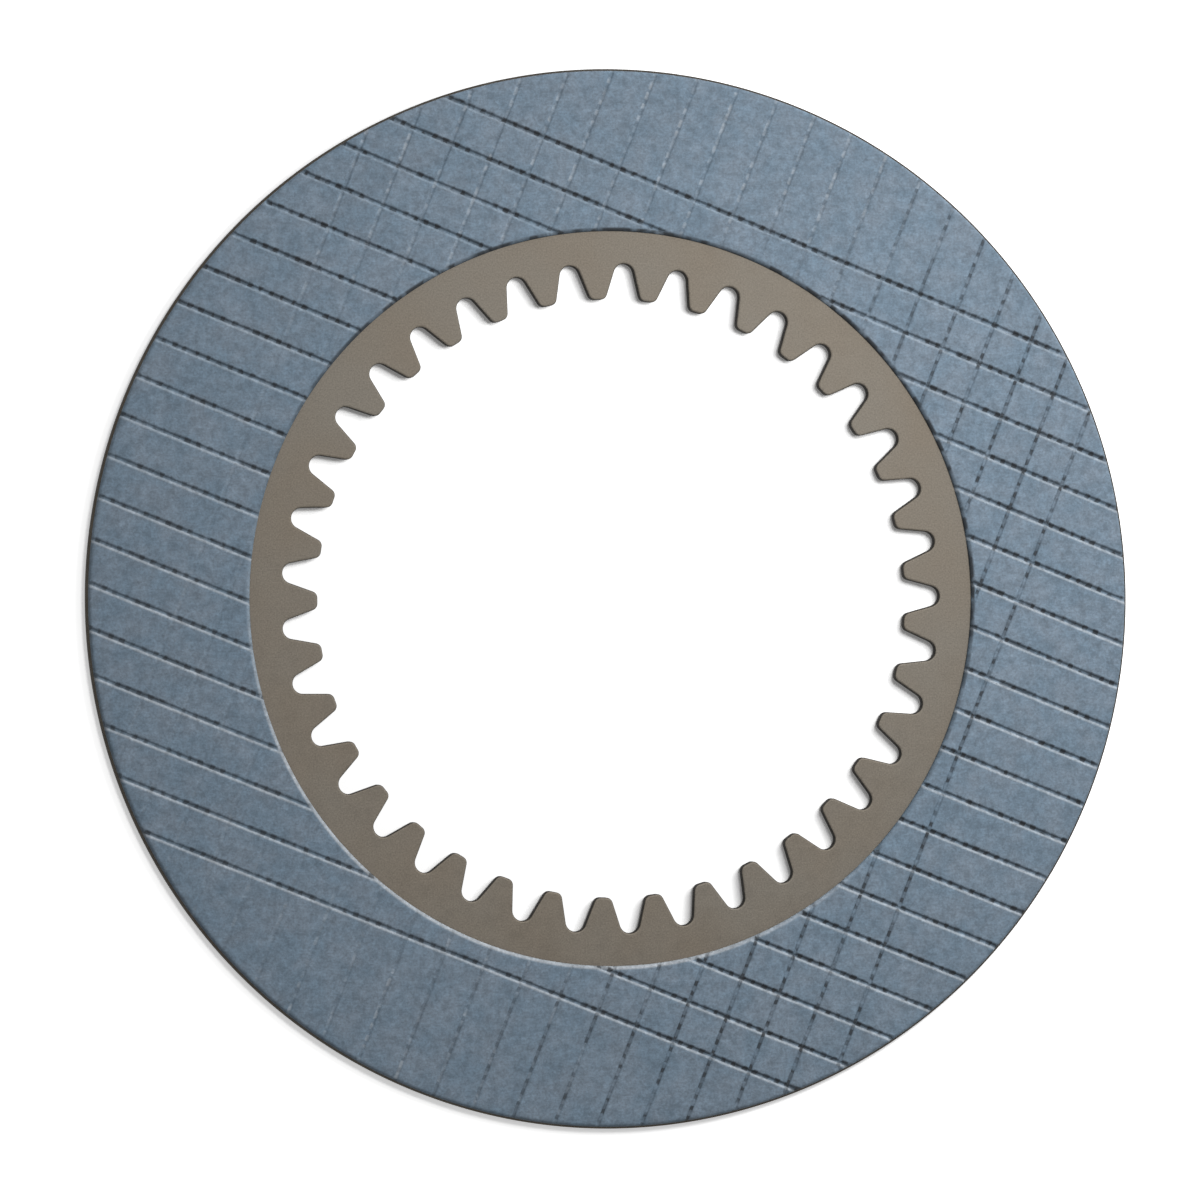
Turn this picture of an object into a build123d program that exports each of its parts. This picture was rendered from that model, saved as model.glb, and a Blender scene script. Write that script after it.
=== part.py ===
from build123d import *
from math import asin, cos, pi, radians, sin, tan
import os

# Friction disc of a wet multi-plate clutch. A flat steel core plate has teeth on
# its inner edge, which slide on the splines of a hub, and a grooved ring of
# friction paper is bonded to each side. The disc lies flat with its axis on Z.
# The origin is the centre of the disc, halfway through the core plate.
# Lengths are in millimetres and angles in degrees.

# Core plate
CORE_DIAMETER = 202.6
CORE_THICKNESS = 2.4

# Internal teeth, with straight flanks and a full round in each root
TOOTH_COUNT = 37
MODULE = 3.25  # pitch diameter over tooth count
SPLINE_CLEARANCE = 0.08  # how much a tooth is narrower than half the pitch
TIP_HEIGHT = 2.95  # from the pitch circle in to the tips
ROOT_DEPTH = 3.95  # from the pitch circle out to the roots
FLANK_ANGLE = 20.0  # from the tooth's centre line
TIP_CHAMFER = 0.7
FIRST_TOOTH_ANGLE = 5.15

# Friction facings
RIM_MARGIN = 0.4  # bare steel outside the facing
INNER_LAND = 6.15  # bare steel between the tooth roots and the facing
FACING_THICKNESS = 0.8

# Oil grooves, sawn in two passes that cross at a right angle
GROOVE_COUNT = 20  # in each pass
GROOVE_PITCH = 7.95
GROOVE_WIDTH = 1.1
GROOVE_DEPTH = 0.4
GROOVE_ANGLE = -21.9  # of the first pass
GROOVE_SHIFT = (-1.2, 1.65)  # the pattern's centre, off the disc's centre

# How far a cutter reaches past what it cuts
OVERRUN = 2.0

core_radius = CORE_DIAMETER / 2
pitch_radius = MODULE * TOOTH_COUNT / 2
tooth_width = pi * MODULE / 2 - SPLINE_CLEARANCE
tip_radius = pitch_radius - TIP_HEIGHT
root_radius = pitch_radius + ROOT_DEPTH
facing_outer_radius = core_radius - RIM_MARGIN
facing_inner_radius = root_radius + INNER_LAND
face_height = CORE_THICKNESS / 2 + FACING_THICKNESS


def tooth_space():
    """The gap between two teeth, which opens towards the centre along -X."""
    half_pitch_angle = 180 / TOOTH_COUNT
    gap_angle = radians(half_pitch_angle) - asin(tooth_width / 2 / pitch_radius)
    on_pitch_x = pitch_radius * cos(gap_angle)
    on_pitch_y = pitch_radius * sin(gap_angle)

    # The flanks close in on the gap's centre line and end in the root's round
    closing = radians(FLANK_ANGLE - half_pitch_angle)
    apex_x = on_pitch_x + on_pitch_y / tan(closing)
    root_round = (apex_x - root_radius) * sin(closing) / (1 - sin(closing))
    end_x = root_radius - root_round + root_round * sin(closing)
    end_y = root_round * cos(closing)
    mouth_x = tip_radius - OVERRUN
    mouth_y = (apex_x - mouth_x) * tan(closing)

    flanks = Polyline((end_x, end_y), (mouth_x, mouth_y), (mouth_x, -mouth_y), (end_x, -end_y))
    root = ThreePointArc((end_x, end_y), (root_radius, 0), (end_x, -end_y))
    return make_face([flanks, root])


def core_plate():
    """The steel plate, with a tooth space on +X before it is turned into place."""
    spaces = PolarLocations(0, TOOTH_COUNT) * tooth_space()
    outline = Circle(core_radius) - Circle(tip_radius) - spaces
    plate = extrude(outline, CORE_THICKNESS / 2, both=True)
    tip_edges = plate.edges().filter_by(Axis.Z).sort_by(SortBy.DISTANCE)[: 2 * TOOTH_COUNT]
    plate = chamfer(tip_edges, TIP_CHAMFER)
    return Rot(0, 0, FIRST_TOOTH_ANGLE + 180 / TOOTH_COUNT) * plate


def saw_pass(angle):
    """Cutters for one pass of the gang of saws across the front facing."""
    cutter = Box(
        2 * (facing_outer_radius + OVERRUN),
        GROOVE_WIDTH,
        GROOVE_DEPTH + OVERRUN,
        align=(Align.CENTER, Align.CENTER, Align.MIN),
    )
    rows = GridLocations(0, GROOVE_PITCH, 1, GROOVE_COUNT)
    return Pos(*GROOVE_SHIFT, face_height - GROOVE_DEPTH) * Rot(0, 0, angle) * rows * cutter


def front_facing():
    """The ring of friction paper on the core plate's front, with its oil grooves."""
    ring = Circle(facing_outer_radius) - Circle(facing_inner_radius)
    facing = Pos(0, 0, CORE_THICKNESS / 2) * extrude(ring, FACING_THICKNESS)
    return facing - saw_pass(GROOVE_ANGLE) - saw_pass(GROOVE_ANGLE + 90)


def main():
    front = front_facing()
    parts = {
        "core_plate": core_plate(),
        "front_facing": front,
        "rear_facing": Rot(180, 0, 0) * front,
    }
    os.makedirs("parts", exist_ok=True)
    for name, part in parts.items():
        export_step(part, f"parts/{name}.step")


main()
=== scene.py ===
from math import asin, cos, pi, radians, sin, sqrt, tan

import bmesh
import bpy
import numpy as np
from mathutils import Matrix, Vector

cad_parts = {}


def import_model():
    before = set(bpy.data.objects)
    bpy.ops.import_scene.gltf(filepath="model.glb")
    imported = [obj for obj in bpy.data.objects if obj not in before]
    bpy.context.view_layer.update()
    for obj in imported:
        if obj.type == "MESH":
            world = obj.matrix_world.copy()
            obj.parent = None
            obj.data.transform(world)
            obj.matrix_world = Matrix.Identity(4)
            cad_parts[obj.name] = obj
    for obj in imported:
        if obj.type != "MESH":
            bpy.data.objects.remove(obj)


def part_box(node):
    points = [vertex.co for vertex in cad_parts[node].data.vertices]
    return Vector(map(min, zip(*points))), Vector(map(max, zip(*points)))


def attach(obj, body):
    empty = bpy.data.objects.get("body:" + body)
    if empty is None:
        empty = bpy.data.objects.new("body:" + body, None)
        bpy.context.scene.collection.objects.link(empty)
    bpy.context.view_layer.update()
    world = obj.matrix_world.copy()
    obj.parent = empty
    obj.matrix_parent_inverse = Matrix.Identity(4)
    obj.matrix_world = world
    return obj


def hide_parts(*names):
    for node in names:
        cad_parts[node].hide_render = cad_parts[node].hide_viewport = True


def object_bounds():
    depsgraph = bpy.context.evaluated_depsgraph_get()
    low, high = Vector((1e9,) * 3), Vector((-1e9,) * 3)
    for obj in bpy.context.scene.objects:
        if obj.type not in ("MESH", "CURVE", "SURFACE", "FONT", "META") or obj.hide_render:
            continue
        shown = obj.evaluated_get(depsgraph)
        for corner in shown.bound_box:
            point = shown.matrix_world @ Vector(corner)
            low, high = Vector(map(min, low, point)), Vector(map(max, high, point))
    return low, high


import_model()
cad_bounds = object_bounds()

# Friction disc of a wet clutch: a steel core plate with teeth on its inner edge,
# and a grooved ring of friction paper on each side. Lengths are in metres.
MM = 0.001

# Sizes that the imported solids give
core_low, core_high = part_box("core_plate")
facing_low, facing_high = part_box("front_facing")
CORE_RADIUS = min(core_high.x, core_high.y, -core_low.x, -core_low.y)
FACING_RADIUS = min(facing_high.x, facing_high.y, -facing_low.x, -facing_low.y)
HALF_CORE = core_high.z
FACE_HEIGHT = facing_high.z

# Teeth, as in the part's source
TOOTH_COUNT = 37
MODULE = 3.25 * MM  # pitch diameter over tooth count
SPLINE_CLEARANCE = 0.08 * MM  # how much a tooth is narrower than half the pitch
TIP_HEIGHT = 2.95 * MM  # from the pitch circle in to the tips
ROOT_DEPTH = 3.95 * MM  # from the pitch circle out to the roots
FLANK_ANGLE = radians(20)  # from the tooth's centre line
FIRST_TOOTH_ANGLE = radians(5.15)
PITCH_RADIUS = MODULE * TOOTH_COUNT / 2

# Rounds on the tips of the teeth and on the edges of the plate
TIP_ROUND = 1.3 * MM
EDGE_ROUND = 0.35 * MM

# Friction facings and their oil grooves, as in the part's source
INNER_LAND = 6.15 * MM  # bare steel between the tooth roots and the facing
FACING_INNER_RADIUS = PITCH_RADIUS + ROOT_DEPTH + INNER_LAND
GROOVE_COUNT = 20  # in each pass
GROOVE_PITCH = 7.95 * MM
GROOVE_WIDTH = 1.1 * MM
GROOVE_DEPTH = 0.4 * MM
GROOVE_ANGLE = radians(-21.9)  # of the first pass
SECOND_ANGLE = GROOVE_ANGLE + pi / 2
GROOVE_SHIFT = np.array((-1.2, 1.65)) * MM  # the pattern's centre, off the disc's centre

# Flat part of a groove's width, and two waves in which its sides wander: each one's size
# as a share, its radians per metre and its radians from one groove to the next
GROOVE_FLOOR = 0.2 * MM
WANDER = ((0.05, 310, 2.4), (0.04, 730, 5.1))

# Where the passes change across the disc: a direction, and two distances along it
LEFTWARD = (-1, -0.6)
LEFT_FADE = (20 * MM, 80 * MM)
RIGHTWARD = (1, -0.5)
RIGHT_FADE = (-10 * MM, 50 * MM)
FAR_FADE = (55 * MM, 80 * MM)  # from the X axis, both ways

# Shares of the full depth
FIRST_LOSS = 0.4  # what the first pass loses to the left
SECOND_LEAST = 0.2  # what the second pass has at the left
SECOND_GAIN = 0.5  # what it gains to the right
FAR_GAIN = 0.7  # of that gain, far from the X axis

# Spots of dirt in the grooves, and the size of what makes them uneven
BEAD_PITCH = 2.25 * MM
BEAD_UNEVENNESS = 1.6 * MM

# Pressed edges of the facings
RIM_ROUND = 0.7 * MM
RIM_DROP = 0.85  # share of the facing's height that the round takes

# Meshing
SHARP_ANGLE = radians(50)
ROOT_STEPS = 7
FLANK_STEPS = 4
TIP_ROUND_STEPS = 5
TIP_STEPS = 2
EDGE_STEPS = 4
SUPPORT = 0.06 * MM  # from a round to the points that keep the face beside it flat
FACE_SHARES = (0, 0.03, 0.1, 0.25, 0.5, 0.75, 1)  # of the way across the plate's face
GROOVE_STEPS = 4
LAND_STEPS = 5
BORDER_STEP = 1.4 * MM
RIM_STEPS = 4

# Camera, at the photograph's viewing angle
VIEW_LEAN = (-11.0, -0.5)  # degrees off the disc's axis, towards +X and +Y
VIEW_ROLL = -0.25  # degrees
VIEW_DISTANCE = 1.336
VIEW_TARGET = (-2.42 * MM, -0.28 * MM, 0)
LENS = 209.6
SENSOR = 36.0

# Light
LIGHT_AZIMUTH = radians(65)  # towards the upper right of the picture
LIGHT_SIDE = (cos(LIGHT_AZIMUTH), sin(LIGHT_AZIMUTH))
AMBIENT = 0.12
FLOOR_REACH = 4.0
FLOOR_GLOW = (0.14, 0.6)  # added for the camera near the disc and far from it
GLOW_RING = (96 * MM, 103.5 * MM)  # distances from the axis between which the glow grows


def make_piece(name, vertices, faces, node, material):
    """A smooth-shaded mesh that stands for a node of the part."""
    mesh = bpy.data.meshes.new(name)
    mesh.from_pydata(vertices.tolist(), [], faces)
    shape = bmesh.new()
    shape.from_mesh(mesh)
    bmesh.ops.recalc_face_normals(shape, faces=shape.faces)
    shape.to_mesh(mesh)
    shape.free()
    mesh.shade_smooth()
    mesh.set_sharp_from_angle(angle=SHARP_ANGLE)
    mesh.materials.append(material)
    piece = bpy.data.objects.new(name, mesh)
    bpy.context.scene.collection.objects.link(piece)
    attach(piece, "root")
    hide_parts(node)
    return piece


def unit(vectors):
    """Each row of a table of vectors, made one long."""
    return vectors / np.linalg.norm(vectors, axis=1)[:, None]


def band(ring, after):
    """Four-sided faces between two rings that have as many points."""
    return list(zip(ring, ring[1:] + ring[:1], after[1:] + after[:1], after))


def on_circle(centre, radius, angles):
    return np.array(centre) + radius * np.stack([np.cos(angles), np.sin(angles)], 1)


def half_tooth_space():
    """Half a gap between teeth, on +X, from the middle of its root to the middle of a tip."""
    half_pitch = pi / TOOTH_COUNT
    tooth_width = pi * MODULE / 2 - SPLINE_CLEARANCE
    tip_radius = PITCH_RADIUS - TIP_HEIGHT
    root_radius = PITCH_RADIUS + ROOT_DEPTH
    gap_angle = half_pitch - asin(tooth_width / 2 / PITCH_RADIUS)
    closing = FLANK_ANGLE - half_pitch
    apex = PITCH_RADIUS * cos(gap_angle) + PITCH_RADIUS * sin(gap_angle) / tan(closing)

    root_round = (apex - root_radius) * sin(closing) / (1 - sin(closing))
    root_angles = np.linspace(0, pi / 2 - closing, ROOT_STEPS + 1)
    root = on_circle((root_radius - root_round, 0), root_round, root_angles)

    # The round at the tip touches the flank and the tips' circle
    into_tooth = np.array((sin(closing), cos(closing)))
    along_flank = np.array((-cos(closing), sin(closing)))
    start = np.array((apex, 0)) + TIP_ROUND * into_tooth
    middle = start @ along_flank
    reach = start @ start - (tip_radius + TIP_ROUND) ** 2
    centre = start + (-middle - sqrt(middle**2 - reach)) * along_flank
    from_angle = np.arctan2(-into_tooth[1], -into_tooth[0])
    to_angle = np.arctan2(-centre[1], -centre[0])
    round_angles = np.linspace(from_angle, to_angle, TIP_ROUND_STEPS + 1)
    tip_round = on_circle(centre, TIP_ROUND, round_angles)

    shares = np.linspace(0, 1, FLANK_STEPS + 1)[1:-1, None]
    flank = root[-1] + shares * (tip_round[0] - root[-1])
    centre_angle = np.arctan2(centre[1], centre[0])
    tip_angles = np.linspace(centre_angle, half_pitch, TIP_STEPS + 1)[1:]
    tip = on_circle((0, 0), tip_radius, tip_angles)
    return np.concatenate([root, flank, tip_round, tip])


def turned(points, angle):
    """Points in the plane, turned about the origin."""
    return points @ np.array(((cos(angle), sin(angle)), (-sin(angle), cos(angle))))


def spline_outline():
    """The toothed inner edge, once round counterclockwise."""
    upper = half_tooth_space()
    lower = upper[::-1] * (1, -1)
    space = np.concatenate([lower, upper[1:-1]])
    first = FIRST_TOOTH_ANGLE + pi / TOOTH_COUNT
    angles = [first + 2 * pi * k / TOOTH_COUNT for k in range(TOOTH_COUNT)]
    return np.concatenate([turned(space, angle) for angle in angles])


def core_plate(material):
    """The steel plate as rows of points, each once round, over its edges, front and back."""
    inner = spline_outline()
    tangent = np.roll(inner, -1, 0) - np.roll(inner, 1, 0)
    into_metal = unit(np.stack([tangent[:, 1], -tangent[:, 0]], 1))
    radial = unit(inner)

    # An edge's round as pairs of inset and height
    angles = np.linspace(0, pi / 2, EDGE_STEPS + 1)
    edge = [(EDGE_ROUND * (1 - cos(a)), HALF_CORE - EDGE_ROUND * (1 - sin(a))) for a in angles]
    inner_support = inner + (EDGE_ROUND + SUPPORT) * into_metal
    outer_support = (CORE_RADIUS - EDGE_ROUND - SUPPORT) * radial
    face = [inner_support + share * (outer_support - inner_support) for share in FACE_SHARES]

    rows = [(inner + inset * into_metal, -height) for inset, height in reversed(edge)]
    rows += [(inner + inset * into_metal, height) for inset, height in edge]
    rows += [(ring, HALF_CORE) for ring in face]
    rows += [((CORE_RADIUS - inset) * radial, height) for inset, height in reversed(edge)]
    rows += [((CORE_RADIUS - inset) * radial, -height) for inset, height in edge]
    rows += [(ring, -HALF_CORE) for ring in reversed(face)]

    count = len(inner)
    vertices = np.concatenate([np.column_stack([row, np.full(count, z)]) for row, z in rows])
    rings = [list(range(k * count, (k + 1) * count)) for k in range(len(rows))]
    faces = []
    for ring, after in zip(rings, rings[1:] + rings[:1]):
        faces.extend(band(ring, after))
    return make_piece("steel_core", vertices, faces, "core_plate", material)


def groove_depth(across, forward):
    """How deep a pass of grooves cuts at these places across and along it."""
    last_row = (GROOVE_COUNT - 1) / 2
    row = np.clip(np.round(across / GROOVE_PITCH - 0.5) + 0.5, -last_row, last_row)
    wander = 1
    for size, waves, offset in WANDER:
        wander = wander + size * np.sin(forward * waves + row * offset)
    off_floor = np.abs(across - row * GROOVE_PITCH) - GROOVE_FLOOR / 2
    rise = np.clip(off_floor / (GROOVE_WIDTH / 2 - GROOVE_FLOOR / 2) * wander, 0, 1)
    return GROOVE_DEPTH * (1 - rise * rise * (3 - 2 * rise))


def fade(place, direction, start, end):
    """0 before the start and 1 past the end, along a direction in the plane."""
    return np.clip((place @ direction - start) / (end - start), 0, 1)


def first_pass(place):
    """Share of the full depth that the first pass has: less on the left, where it shows less."""
    return 1 - FIRST_LOSS * fade(place, LEFTWARD, *LEFT_FADE)


def second_pass(place):
    """Share of the full depth that the second pass has: little on the left, as it hardly shows."""
    right = fade(place, RIGHTWARD, *RIGHT_FADE)
    far = fade(np.abs(place), (0, 1), *FAR_FADE)
    return SECOND_LEAST + SECOND_GAIN * np.maximum(right, FAR_GAIN * far)


def groove_lines():
    """Places across a pass of grooves: close together in a groove and further apart between two."""
    side = np.linspace(GROOVE_FLOOR / 2, GROOVE_WIDTH / 2, GROOVE_STEPS + 1)
    groove = np.concatenate([-side[::-1], [0], side])
    support = GROOVE_WIDTH / 2 + 2 * SUPPORT
    land = np.linspace(support, GROOVE_PITCH - support, LAND_STEPS + 1)
    lines = []
    for k in range(GROOVE_COUNT):
        centre = (k - (GROOVE_COUNT - 1) / 2) * GROOVE_PITCH
        lines.extend(centre + groove)
        if k < GROOVE_COUNT - 1:
            lines.extend(centre + land)
    last = max(lines) + 2 * SUPPORT
    reach = FACING_RADIUS + max(abs(GROOVE_SHIFT)) + BORDER_STEP
    border = np.arange(last, reach + BORDER_STEP, BORDER_STEP)
    return np.concatenate([-border[::-1], lines, border])


class Sheet:
    """The top of a facing: a grid along both passes of grooves, clipped to the ring."""

    def __init__(self, inner_radius, outer_radius):
        self.radii = (inner_radius, outer_radius)
        lines = groove_lines()
        self.count = len(lines)
        u, v = np.meshgrid(lines, lines, indexing="ij")
        place = np.stack([u.ravel(), v.ravel()], 1)
        place = turned(place, GROOVE_ANGLE) + GROOVE_SHIFT
        first = groove_depth(v, u).ravel() * first_pass(place)
        depth = np.maximum(first, groove_depth(u, v).ravel() * second_pass(place))
        self.grid = np.column_stack([place, FACE_HEIGHT - depth])
        distance = np.linalg.norm(place, axis=1)
        self.zone = np.where(distance < inner_radius, -1, np.where(distance > outer_radius, 1, 0))
        self.points = [tuple(p) for p in self.grid]
        self.faces = []
        self.rims = {-1: [], 1: []}
        self.crossings = {}
        self.fill()

    def crossing(self, a, b):
        """The point where the grid's edge from a to b crosses a rim of the ring."""
        key = (min(a, b), max(a, b))
        if key not in self.crossings:
            side = self.zone[a] + self.zone[b]
            radius = self.radii[0] if side < 0 else self.radii[1]
            start, step = self.grid[key[0]], self.grid[key[1]] - self.grid[key[0]]
            square = step[:2] @ step[:2]
            middle = start[:2] @ step[:2] / square
            reach = (start[:2] @ start[:2] - radius**2) / square
            root = sqrt(middle**2 - reach)
            share = -middle + root if 0 <= -middle + root <= 1 else -middle - root
            self.crossings[key] = len(self.points)
            self.rims[side].append(len(self.points))
            self.points.append(tuple(start + share * step))
        return self.crossings[key]

    def fill(self):
        """Faces for the grid's cells on the ring, cut off where a rim crosses them."""
        n = self.count
        zone = self.zone.reshape(n, n)
        kept = zone == 0
        some = kept[:-1, :-1] | kept[1:, :-1] | kept[1:, 1:] | kept[:-1, 1:]
        for i, j in zip(*np.nonzero(some)):
            corners = (i * n + j, (i + 1) * n + j, (i + 1) * n + j + 1, i * n + j + 1)
            face = []
            for a, b in zip(corners, corners[1:] + corners[:1]):
                if self.zone[a] == 0:
                    face.append(int(a))
                if (self.zone[a] == 0) != (self.zone[b] == 0):
                    face.append(self.crossing(a, b))
            if len(face) > 2:
                self.faces.append(face)


def add_rim(points, faces, rim, side):
    """A rim's round and its wall down to the steel. Gives the ring of points at its foot."""
    start = np.array([points[i] for i in rim])
    order = np.argsort(np.arctan2(start[:, 1], start[:, 0]))
    start, ring = start[order], [rim[i] for i in order]
    outward = side * unit(start[:, :2])
    height = start[:, 2] - HALF_CORE
    angles = np.linspace(0, pi / 2, RIM_STEPS + 1)[1:]
    steps = [(RIM_ROUND * sin(a), 1 - RIM_DROP * (1 - cos(a))) for a in angles]
    for out, share in steps + [(RIM_ROUND, 0)]:
        level = np.column_stack([start[:, :2] + out * outward, HALF_CORE + share * height])
        after = list(range(len(points), len(points) + len(ring)))
        points.extend(map(tuple, level))
        faces.extend(band(ring, after))
        ring = after
    return ring


def facing_shape():
    """Points and faces of the front facing: its grooved top, rounded rims and flat underside."""
    sheet = Sheet(FACING_INNER_RADIUS + RIM_ROUND, FACING_RADIUS - RIM_ROUND)
    points, faces = sheet.points, sheet.faces
    under = {side: add_rim(points, faces, rim, side) for side, rim in sheet.rims.items()}
    faces.extend(bridge(points, under[-1], under[1]))
    used = sorted({i for face in faces for i in face})
    renumbered = {old: new for new, old in enumerate(used)}
    return np.array([points[i] for i in used]), [[renumbered[i] for i in face] for face in faces]


def bridge(points, inner, outer):
    """Triangles between two rings of points that are both sorted by angle."""
    def angle(ring, i):
        x, y, _ = points[ring[i % len(ring)]]
        return np.arctan2(y, x) + 2 * pi * (i // len(ring))

    triangles = []
    i = j = 0
    while i < len(inner) or j < len(outer):
        a, b = inner[i % len(inner)], outer[j % len(outer)]
        if j >= len(outer) or (i < len(inner) and angle(inner, i + 1) < angle(outer, j + 1)):
            triangles.append((a, b, inner[(i + 1) % len(inner)]))
            i += 1
        else:
            triangles.append((a, b, outer[(j + 1) % len(outer)]))
            j += 1
    return triangles


def node(tree, kind, inputs=(), **settings):
    """A node with its settings, and its inputs set to values or joined to outputs."""
    made = tree.nodes.new(kind)
    for name, value in settings.items():
        setattr(made, name, value)
    for key, value in dict(inputs).items():
        if isinstance(value, bpy.types.NodeSocket):
            tree.links.new(value, made.inputs[key])
        else:
            made.inputs[key].default_value = value
    return made


def calculate(tree, operation, *values):
    """The result of one step of arithmetic."""
    return node(tree, "ShaderNodeMath", enumerate(values), operation=operation).outputs[0]


def place_of(tree):
    """The place on the piece, in metres."""
    return node(tree, "ShaderNodeTexCoord").outputs["Object"]


def noise(tree, place, size, detail=2.0, roughness=0.5, distortion=0.0):
    """Smooth noise whose features are about this size."""
    values = {
        "Vector": place,
        "Scale": 1 / size,
        "Detail": detail,
        "Roughness": roughness,
        "Distortion": distortion,
    }
    return node(tree, "ShaderNodeTexNoise", values).outputs["Fac"]


def spread(tree, value, low, high, start=0.3, end=0.7):
    """The value's range from start to end, turned into low to high."""
    values = {"Value": value, "From Min": start, "From Max": end, "To Min": low, "To Max": high}
    return node(tree, "ShaderNodeMapRange", values).outputs["Result"]


def blend(tree, factor, first, second):
    """A colour between two others."""
    inputs = {0: factor, 6: first, 7: second}  # colours come after the other kinds of input
    return node(tree, "ShaderNodeMix", inputs, data_type="RGBA").outputs[2]


def combine(tree, operation, values):
    """One value out of many, such as their product or the largest of them."""
    result = values[0]
    for value in values[1:]:
        result = calculate(tree, operation, result, value)
    return result


def new_material(name):
    material = bpy.data.materials.new(name)
    material.use_nodes = True
    tree = material.node_tree
    shader = tree.nodes["Principled BSDF"]
    return material, tree, shader


def emboss(tree, shader, relief, strength, depth):
    """Raise the surface a little where the relief is high."""
    values = {"Height": relief, "Strength": strength, "Distance": depth}
    bump = node(tree, "ShaderNodeBump", values)
    tree.links.new(bump.outputs["Normal"], shader.inputs["Normal"])


def fibres(tree, place, angles, length, width):
    """Short streaks that lie in a few directions, given in degrees."""
    layers = []
    for angle in angles:
        turn = (0, 0, radians(angle))
        mapping = {"Vector": place, "Rotation": turn, "Scale": (width / length, 1, 1)}
        stretched = node(tree, "ShaderNodeMapping", mapping).outputs["Vector"]
        layers.append(noise(tree, stretched, width, detail=1.5, distortion=0.6))
    return combine(tree, "MAXIMUM", layers)


def as_front(tree, place):
    """The place as the front facing has it, so that the rear one is its mirror image."""
    axes = node(tree, "ShaderNodeSeparateXYZ", {"Vector": place}).outputs
    side = calculate(tree, "SIGN", axes["Z"])
    values = {"X": axes["X"], "Y": calculate(tree, "MULTIPLY", axes["Y"], side), "Z": axes["Z"]}
    return node(tree, "ShaderNodeCombineXYZ", values).outputs["Vector"]


def vector_math(tree, operation, *vectors):
    return node(tree, "ShaderNodeVectorMath", enumerate(vectors), operation=operation).outputs


def along(tree, place, direction):
    """How far the place lies in a direction."""
    return vector_math(tree, "DOT_PRODUCT", place, Vector(direction).to_3d())["Value"]


def radius_of(tree, place):
    """The place's distance from the disc's axis."""
    flat = vector_math(tree, "MULTIPLY", place, (1, 1, 0))["Vector"]
    return vector_math(tree, "LENGTH", flat)["Value"]


def across_groove(tree, place, angle):
    """0 on the centre line of a groove that runs at this angle, and 1 and -1 at its two edges."""
    direction = (-sin(angle), cos(angle))
    centre = float(GROOVE_SHIFT @ direction)
    across = calculate(tree, "SUBTRACT", along(tree, place, direction), centre)
    row = calculate(tree, "DIVIDE", across, GROOVE_PITCH)
    share = calculate(tree, "SUBTRACT", calculate(tree, "FRACT", row), 0.5)

    # No place beyond the outermost grooves counts as being in one
    beyond = calculate(tree, "GREATER_THAN", calculate(tree, "ABSOLUTE", row), GROOVE_COUNT / 2)
    share = calculate(tree, "ADD", share, beyond)
    return calculate(tree, "DIVIDE", share, GROOVE_WIDTH / GROOVE_PITCH / 2)


def beads(tree, place, angle, specks):
    """A mask for dirt and painted shade along a groove that runs at this angle: a row of spots on a
    fainter line.
    """
    forward = along(tree, place, (cos(angle), sin(angle)))
    wave = calculate(tree, "SINE", calculate(tree, "MULTIPLY", forward, 2 * pi / BEAD_PITCH))
    uneven = spread(tree, noise(tree, place, BEAD_UNEVENNESS, detail=1), -0.9, 0.7)
    spots = spread(tree, calculate(tree, "ADD", wave, uneven), 0, 1, -0.3, 0.4)
    spots = calculate(tree, "MULTIPLY", spots, spread(tree, specks, 0.35, 1, 0.38, 0.52))
    line = spread(tree, specks, 0.05, 0.6, 0.42, 0.62)
    return calculate(tree, "MAXIMUM", spots, line)


def first_marks(tree, front, specks):
    """Painted shade, broken into spots, on the upper side of the first pass's grooves, which faces
    away from the light, and a painted highlight on their lower side.
    """
    across = across_groove(tree, front, GROOVE_ANGLE)
    near = spread(tree, calculate(tree, "ABSOLUTE", across), 1, 0, 1.0, 1.5)
    upper = spread(tree, across, 0, 1, -0.6, -0.2)
    lower = spread(tree, across, 1, 0, -0.45, -0.1)
    spots = beads(tree, front, GROOVE_ANGLE, specks)
    # The painted shade is weaker to the left, and the painted highlight is weaker upwards
    shade_strength = spread(tree, along(tree, front, LEFTWARD), 0.88, 0.74, *LEFT_FADE)
    highlight_strength = spread(tree, along(tree, front, (0, 1)), 0.42, 0.14, 0, 70 * MM)
    dirt_and_painted_shade = combine(tree, "MULTIPLY", [near, upper, spots, shade_strength])
    painted_highlight = combine(tree, "MULTIPLY", [near, lower, highlight_strength])
    return dirt_and_painted_shade, painted_highlight


def second_marks(tree, front, specks, stretches):
    """Dirt and painted shade in the deeper part of the second pass's grooves to the right, and a
    painted highlight line in them to the left.
    """
    across = across_groove(tree, front, SECOND_ANGLE)
    inside = spread(tree, calculate(tree, "ABSOLUTE", across), 1, 0, 0.4, 0.8)
    height = calculate(tree, "ABSOLUTE", along(tree, front, (0, 0, 1)))
    low, high = FACE_HEIGHT - 0.4 * GROOVE_DEPTH, FACE_HEIGHT - 0.08 * GROOVE_DEPTH
    deep = spread(tree, height, 1, 0, low, high)
    spots = beads(tree, front, SECOND_ANGLE, specks)
    right = spread(tree, along(tree, front, RIGHTWARD), 0, 1, *RIGHT_FADE)
    off_axis = calculate(tree, "ABSOLUTE", along(tree, front, (0, 1)))
    # Partly dirt and partly painted shade in the groove's deeper part, then a painted highlight
    # line
    dirt_and_painted_shade = combine(tree, "MULTIPLY", [inside, deep, spots, spread(tree, right, 0.12, 0.85, 0, 1)])
    painted_highlight = combine(tree, "MULTIPLY", [
        inside,
        stretches,
        spread(tree, off_axis, 0.1, 0.34, 50 * MM, 80 * MM),
        spread(tree, right, 1, 0, 0.3, 1),
        spread(tree, spots, 1, 0, 0.2, 0.6),
    ])
    return dirt_and_painted_shade, painted_highlight


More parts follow.
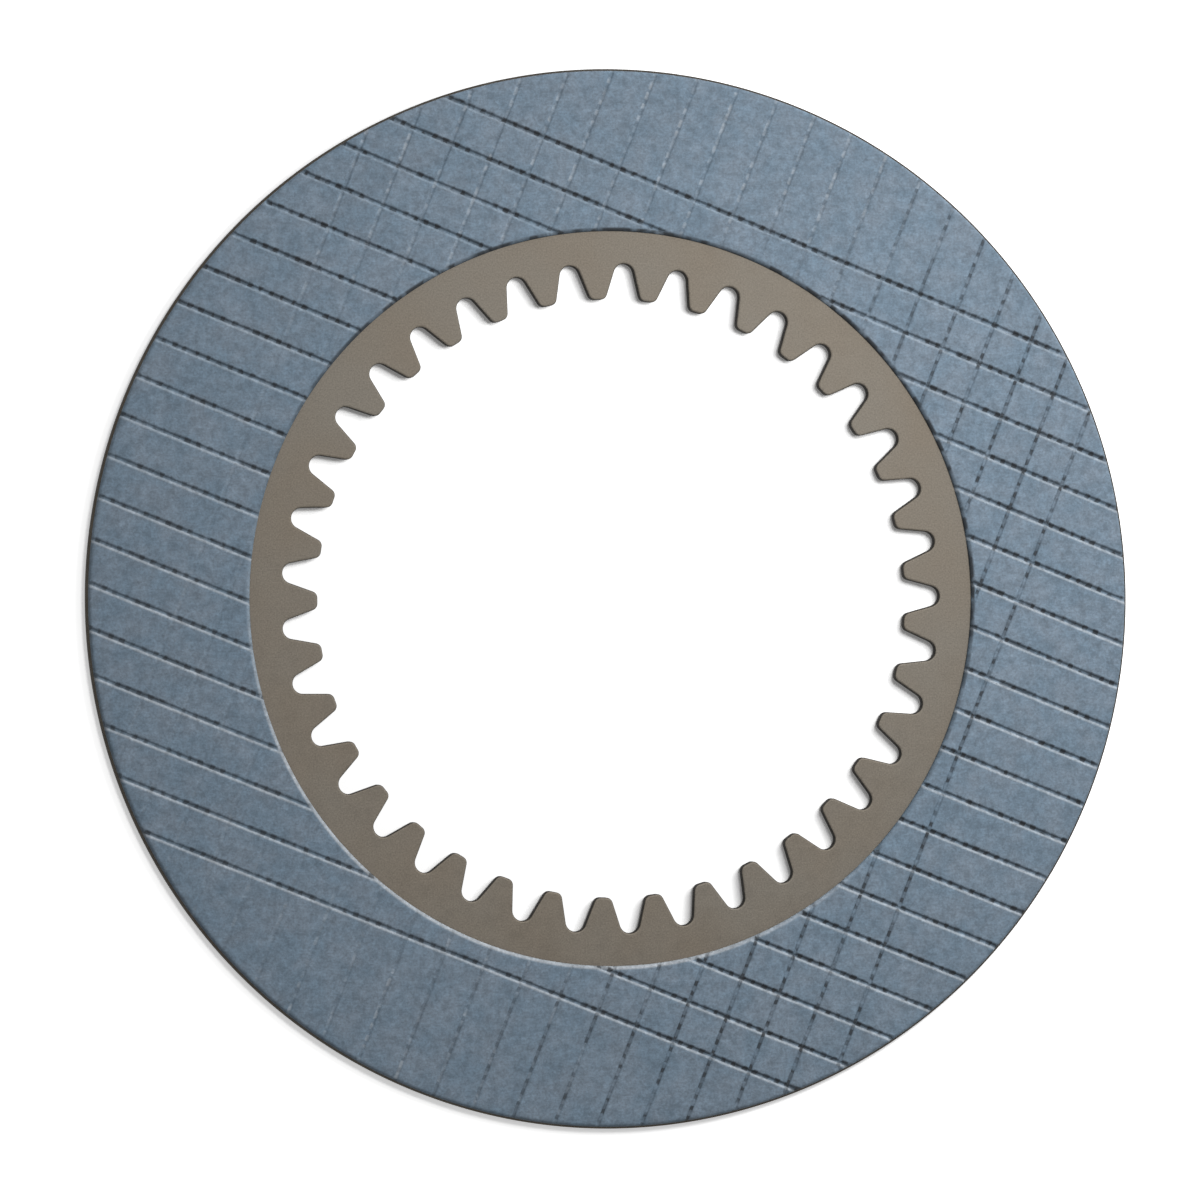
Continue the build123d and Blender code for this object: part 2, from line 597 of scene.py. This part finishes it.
def rim_marks(tree, front, stretches):
    """The inner rim: painted shade where it lies on the light's side of the disc and faces away
    from the light, and a painted highlight opposite, where it faces the light.
    """
    radius = radius_of(tree, front)
    start, end = FACING_INNER_RADIUS + 0.5 * MM, FACING_INNER_RADIUS + 0.85 * MM
    rim = spread(tree, radius, 1, 0, start, end)
    side = calculate(tree, "DIVIDE", along(tree, front, LIGHT_SIDE), radius)
    broken = spread(tree, stretches, 0.4, 1, 0.4, 0.9)
    # Painted shade on the light's side of the rim, and a painted highlight opposite
    dirt_and_painted_shade = combine(tree, "MULTIPLY", [rim, spread(tree, side, 0, 0.88, -0.3, 0.4), broken])
    painted_highlight = combine(tree, "MULTIPLY", [rim, spread(tree, side, 0.6, 0, -0.8, -0.3)])
    return dirt_and_painted_shade, painted_highlight


def friction_paper():
    """Blue-grey resin-bonded paper: finely mottled, with painted light and shade on its cut edges,
    dirt and painted shade in the grooves, and painted highlight lines.
    """
    material, tree, shader = new_material("friction_paper")
    place = place_of(tree)
    clouds = noise(tree, place, 4.5 * MM, detail=3)
    mottle = noise(tree, place, 1.5 * MM, detail=3, roughness=0.65)
    grain = noise(tree, place, 0.5 * MM, detail=2, roughness=0.6)
    streaks = fibres(tree, place, (17, 79, 141), length=1.8 * MM, width=0.35 * MM)

    # The dirt and painted shade in the grooves come and go with the specks, and the painted
    # highlight lines and the rim's painted shade with the stretches
    front = as_front(tree, place)
    specks = noise(tree, place, 4 * MM, detail=2)
    stretches = spread(tree, noise(tree, place, 3 * MM, detail=1), 0.4, 1.0, 0.42, 0.54)
    marks = [
        first_marks(tree, front, specks),
        second_marks(tree, front, specks, stretches),
        rim_marks(tree, front, stretches),
    ]
    dirt_and_painted_shade, painted_highlight = (combine(tree, "MAXIMUM", values) for values in zip(*marks))

    # Painted light and shade: cut edges and groove walls are made paler where they face the light
    # and darker where they face away
    normal = node(tree, "ShaderNodeNewGeometry").outputs["Normal"]
    light_facing = along(tree, normal, LIGHT_SIDE)

    blue = (0.119, 0.169, 0.220, 1)
    grey = (0.132, 0.171, 0.214, 1)
    tint = blend(tree, spread(tree, clouds, 0, 1, 0.35, 0.65), blue, grey)
    shade = combine(tree, "MULTIPLY", [
        spread(tree, clouds, 0.95, 1.05),
        spread(tree, mottle, 0.77, 1.23),
        spread(tree, grain, 0.8, 1.2),
        spread(tree, streaks, 0.97, 1.12, 0.56, 0.78),
        spread(tree, light_facing, 0.6, 1.4, -0.7, 0.7),
        # Dirt and painted shade darken the colour, and painted highlights lighten it
        calculate(tree, "SUBTRACT", 1.0, dirt_and_painted_shade),
        calculate(tree, "ADD", 1.0, painted_highlight),
    ])
    values = {"Value": shade, "Saturation": spread(tree, painted_highlight, 1, 0.4, 0, 0.55), "Color": tint}
    colour = node(tree, "ShaderNodeHueSaturation", values).outputs["Color"]
    tree.links.new(colour, shader.inputs["Base Color"])
    tree.links.new(spread(tree, grain, 0.7, 0.85), shader.inputs["Roughness"])
    shader.inputs["Specular IOR Level"].default_value = 0.4

    relief = combine(tree, "ADD", [grain, mottle, streaks])
    emboss(tree, shader, relief, strength=0.5, depth=0.04 * MM)
    return material


def core_steel():
    """Tumbled spring steel with a fine grain, faint clouds and light scratches, painted shade on
    the teeth's walls and a painted highlight on the edge rounds.
    """
    material, tree, shader = new_material("core_steel")
    place = place_of(tree)
    clouds = noise(tree, place, 22 * MM, detail=3)
    patches = noise(tree, place, 2.4 * MM, detail=4, roughness=0.6)
    grain = noise(tree, place, 0.3 * MM, detail=3, roughness=0.7)
    scratches = fibres(tree, place, (31, 112), length=9 * MM, width=0.16 * MM)

    # Painted shade: the teeth's sheared walls are made nearly black
    normal = node(tree, "ShaderNodeNewGeometry").outputs["Normal"]
    upright = calculate(tree, "ABSOLUTE", along(tree, normal, (0, 0, 1)))
    painted_wall_shade = spread(tree, upright, 0.15, 1.0, 0.35, 0.8)

    # The bare steel outside the facing is made darker, face and edge alike
    outside_darkening = 0.42
    start, end = FACING_RADIUS - 0.2 * MM, FACING_RADIUS + 0.1 * MM
    outside = spread(tree, radius_of(tree, place), 0, 1, start, end)
    inside = calculate(tree, "SUBTRACT", 1.0, outside)
    inner_shade = calculate(tree, "MULTIPLY", painted_wall_shade, inside)
    outer_shade = calculate(tree, "MULTIPLY", outside, outside_darkening)

    warm = (0.105, 0.091, 0.074, 1)
    cool = (0.102, 0.092, 0.078, 1)
    tint = blend(tree, spread(tree, clouds, 0, 1, 0.35, 0.65), warm, cool)
    shade = combine(tree, "MULTIPLY", [
        spread(tree, clouds, 0.97, 1.03),
        spread(tree, patches, 0.83, 1.17),
        spread(tree, grain, 0.8, 1.2),
        spread(tree, scratches, 1.0, 1.1, 0.66, 0.8),
        calculate(tree, "ADD", inner_shade, outer_shade),
        # Painted highlight: the edge rounds, where the face starts to tilt, are made lighter
        spread(tree, upright, 1.35, 1.0, 0.93, 0.99),
    ])
    colour = node(tree, "ShaderNodeHueSaturation", {"Value": shade, "Color": tint}).outputs["Color"]
    tree.links.new(colour, shader.inputs["Base Color"])
    tree.links.new(spread(tree, upright, 0, 1, 0.35, 0.8), shader.inputs["Metallic"])
    shader.inputs["Specular IOR Level"].default_value = 0.05
    tree.links.new(spread(tree, patches, 0.59, 0.69), shader.inputs["Roughness"])

    relief = calculate(tree, "ADD", grain, calculate(tree, "MULTIPLY", scratches, 0.5))
    emboss(tree, shader, relief, strength=0.4, depth=0.02 * MM)
    return material


def facing(name, shape, turn, cad_node, material):
    """A facing as it is on the front, or turned over for the rear."""
    vertices, faces = shape
    return make_piece(name, vertices * turn, faces, cad_node, material)


def seen_ray(tree):
    """1 for rays that show a background: from the camera, and by gloss or glass."""
    path = node(tree, "ShaderNodeLightPath")
    kinds = ("Is Camera Ray", "Is Glossy Ray", "Is Transmission Ray")
    return combine(tree, "MAXIMUM", [path.outputs[kind] for kind in kinds])


def floor():
    """A white ground that keeps the disc's shadow."""
    mesh = bpy.data.meshes.new("ground")
    quarters = ((-1, -1), (1, -1), (1, 1), (-1, 1))
    corners = [(x * FLOOR_REACH, y * FLOOR_REACH, 0) for x, y in quarters]
    mesh.from_pydata(corners, [], [(0, 1, 2, 3)])
    ground = bpy.data.objects.new("ground", mesh)
    ground.location.z = cad_bounds[0].z
    bpy.context.scene.collection.objects.link(ground)

    material = bpy.data.materials.new("ground")
    material.use_nodes = True
    tree = material.node_tree
    tree.nodes.clear()
    diffuse = node(tree, "ShaderNodeBsdfDiffuse", {"Color": (0.98, 0.98, 0.98, 1)})
    far = spread(tree, radius_of(tree, place_of(tree)), *FLOOR_GLOW, *GLOW_RING)
    strength = calculate(tree, "MULTIPLY", seen_ray(tree), far)
    glow = node(tree, "ShaderNodeEmission", {"Color": (1, 1, 1, 1), "Strength": strength})
    both = node(tree, "ShaderNodeAddShader", {0: diffuse.outputs[0], 1: glow.outputs[0]})
    node(tree, "ShaderNodeOutputMaterial", {"Surface": both.outputs[0]})
    mesh.materials.append(material)


def world():
    """Even light from all round, and a white background."""
    made = bpy.data.worlds.new("studio")
    made.use_nodes = True
    tree = made.node_tree
    tree.nodes.clear()
    strength = spread(tree, seen_ray(tree), AMBIENT, 1, 0, 1)
    light = node(tree, "ShaderNodeBackground", {"Color": (1, 1, 1, 1), "Strength": strength})
    node(tree, "ShaderNodeOutputWorld", {"Surface": light.outputs[0]})
    bpy.context.scene.world = made


def lamp(name, azimuth, elevation, distance, size, power):
    """A round soft lamp that points at the disc."""
    data = bpy.data.lights.new(name, "AREA")
    data.shape = "DISK"
    data.size = size
    data.energy = power
    made = bpy.data.objects.new(name, data)
    azimuth, elevation = radians(azimuth), radians(elevation)
    away = Vector((cos(elevation) * cos(azimuth), cos(elevation) * sin(azimuth), sin(elevation)))
    made.location = distance * away
    made.rotation_euler = away.to_track_quat("Z", "Y").to_euler()
    bpy.context.scene.collection.objects.link(made)


def camera():
    """Above the disc, leaning a little to its left and its lower edge."""
    lean_x, lean_y = (sin(radians(a)) for a in VIEW_LEAN)
    back = Vector((lean_x, lean_y, sqrt(1 - lean_x**2 - lean_y**2)))
    right = Vector((0, 1, 0)).cross(back).normalized()
    up = back.cross(right)
    turn = Matrix.Rotation(radians(VIEW_ROLL), 3, back)
    axes = Matrix((turn @ right, turn @ up, back)).transposed()
    data = bpy.data.cameras.new("camera")
    data.lens = LENS
    data.sensor_width = SENSOR
    data.clip_start = 0.01
    data.clip_end = 20
    made = bpy.data.objects.new("camera", data)
    place = Vector(VIEW_TARGET) + VIEW_DISTANCE * back
    made.matrix_world = Matrix.Translation(place) @ axes.to_4x4()
    bpy.context.scene.collection.objects.link(made)
    bpy.context.scene.camera = made


bpy.context.scene.view_settings.view_transform = "Standard"
camera()
world()
lamp("high_lamp", azimuth=75, elevation=77, distance=0.9, size=0.16, power=2.7)
lamp("side_lamp", azimuth=36, elevation=61, distance=0.29, size=0.15, power=0.7)
floor()
paper = friction_paper()
core_plate(core_steel())
shape = facing_shape()
facing("front_paper", shape, (1, 1, 1), "front_facing", paper)
facing("rear_paper", shape, (1, -1, -1), "rear_facing", paper)
